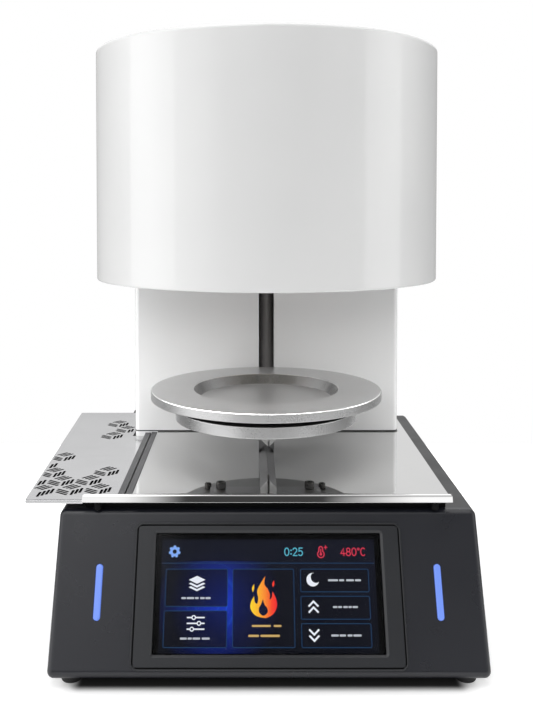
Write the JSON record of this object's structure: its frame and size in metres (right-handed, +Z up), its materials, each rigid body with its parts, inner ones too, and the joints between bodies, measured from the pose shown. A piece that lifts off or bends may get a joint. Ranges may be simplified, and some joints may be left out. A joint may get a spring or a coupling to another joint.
{
  "type": "dental lab furnace",
  "caption": "Bench furnace for dental work: slanted touch-screen base, polished work plate with a pull-out side tray, lift tower, and a table that rises into a round firing drum.",
  "frame": {"origin": "centre of the bounding box at the bottom, at bench height under the feet", "axes": "+X to the right seen from the front, +Y from the screen towards the rear panel, +Z up"},
  "size_m": [0.345, 0.362, 0.4587],
  "materials": {
    "charcoal_panel": "fine satin texture",
    "charcoal_cover": "satin",
    "black_rubber": "matte",
    "black_bezel": "semi gloss",
    "display_glass": "polished",
    "display_screen": "lit screen",
    "led_lens": "diffusing lens, lit blue",
    "black_board": "matte insulation board",
    "polished_steel": "mirror polished",
    "tray_steel": "polished",
    "rail_grey": "satin",
    "zinc_steel": "satin",
    "white_enamel": "gloss",
    "turned_aluminium": "satin turned",
    "screw_steel": "dark satin",
    "motor_black": "satin",
    "seal_red": "matte silicone",
    "ceramic_fibre": "matt fibre",
    "quartz_coil": "smooth",
    "sheath_ceramic": "matt",
    "circuit_board": "satin",
    "black_plastic": "satin",
    "switch_red": "gloss"
  },
  "bodies": {
    "base": {"front_panel": "charcoal_panel", "base_cover": "charcoal_cover", "rear_panel": "charcoal_panel", "base_pan": "charcoal_panel", "foot_front_left": "black_rubber", "foot_front_right": "black_rubber", "foot_rear_left": "black_rubber", "foot_rear_right": "black_rubber", "display_bezel": "black_bezel", "display_glass": "display_glass", "display_module": "display_screen", "led_bar_left": "led_lens", "led_bar_right": "led_lens", "sub_board": "black_board", "work_plate": "polished_steel", "lip_bumper_left": "black_rubber", "lip_bumper_right": "black_rubber", "plate_rail": "rail_grey", "column_cover": "white_enamel", "column_back": "white_enamel", "lift_frame": "zinc_steel", "upper_bearing_block": "turned_aluminium", "lower_bearing_block": "turned_aluminium", "guide_rod_left": "polished_steel", "guide_rod_right": "polished_steel", "lift_motor": "motor_black", "drum_bracket": "zinc_steel", "drum_shell": "white_enamel", "drum_lid": "white_enamel", "drum_base_ring": "polished_steel", "chamber_seal": "seal_red", "muffle_wall": "ceramic_fibre", "muffle_top": "ceramic_fibre", "heating_coil": "quartz_coil", "thermocouple": "sheath_ceramic", "control_board": "circuit_board", "power_module": "zinc_steel", "fan_frame": "black_plastic", "power_inlet": "black_plastic", "switch_housing": "black_plastic"},
    "table_lift": {"firing_table": "turned_aluminium", "table_ring": "turned_aluminium", "table_spacer_1": "zinc_steel", "table_spacer_2": "zinc_steel", "table_spacer_3": "zinc_steel", "bracket_plate": "turned_aluminium", "table_bolt_front_left": "screw_steel", "table_bolt_front_right": "screw_steel", "table_bolt_rear_left": "screw_steel", "table_bolt_rear_right": "screw_steel", "lift_arm": "turned_aluminium", "lift_carriage": "turned_aluminium"},
    "screw": {"lead_screw": "screw_steel", "shaft_coupling": "turned_aluminium"},
    "tray": {"side_tray": "tray_steel", "tray_rail": "rail_grey", "tray_runner_front": "zinc_steel", "tray_runner_rear": "zinc_steel"},
    "fan": {"fan_rotor": "black_plastic"},
    "rocker": {"power_switch": "switch_red"}
  },
  "joints": [
    {"name": "table_lift", "type": "slide", "parent": "base", "child": "table_lift", "axis": [0, 0, 1], "range_m": [0, 0.0915]},
    {"name": "screw_spin", "type": "hinge", "parent": "base", "child": "screw", "pos_m": [0.0196, 0.07564, 0.18], "axis": [0, 0, 1], "range_deg": [-3300, 0]},
    {"name": "tray_slide", "type": "slide", "parent": "base", "child": "tray", "axis": [-1, 0, 0], "range_m": [0, 0.075]},
    {"name": "fan_spin", "type": "hinge", "parent": "base", "child": "fan", "pos_m": [-0.0545, 0.16704, 0.056], "axis": [0, 1, 0], "continuous": true},
    {"name": "rocker_tilt", "type": "hinge", "parent": "base", "child": "rocker", "pos_m": [0.1095, 0.17164, 0.068], "axis": [1, 0, 0], "range_deg": [0, 12]}
  ],
  "couplings": [
    {"joint": "screw_spin", "follows": "table_lift", "rad_per_m": -628.32}
  ]
}
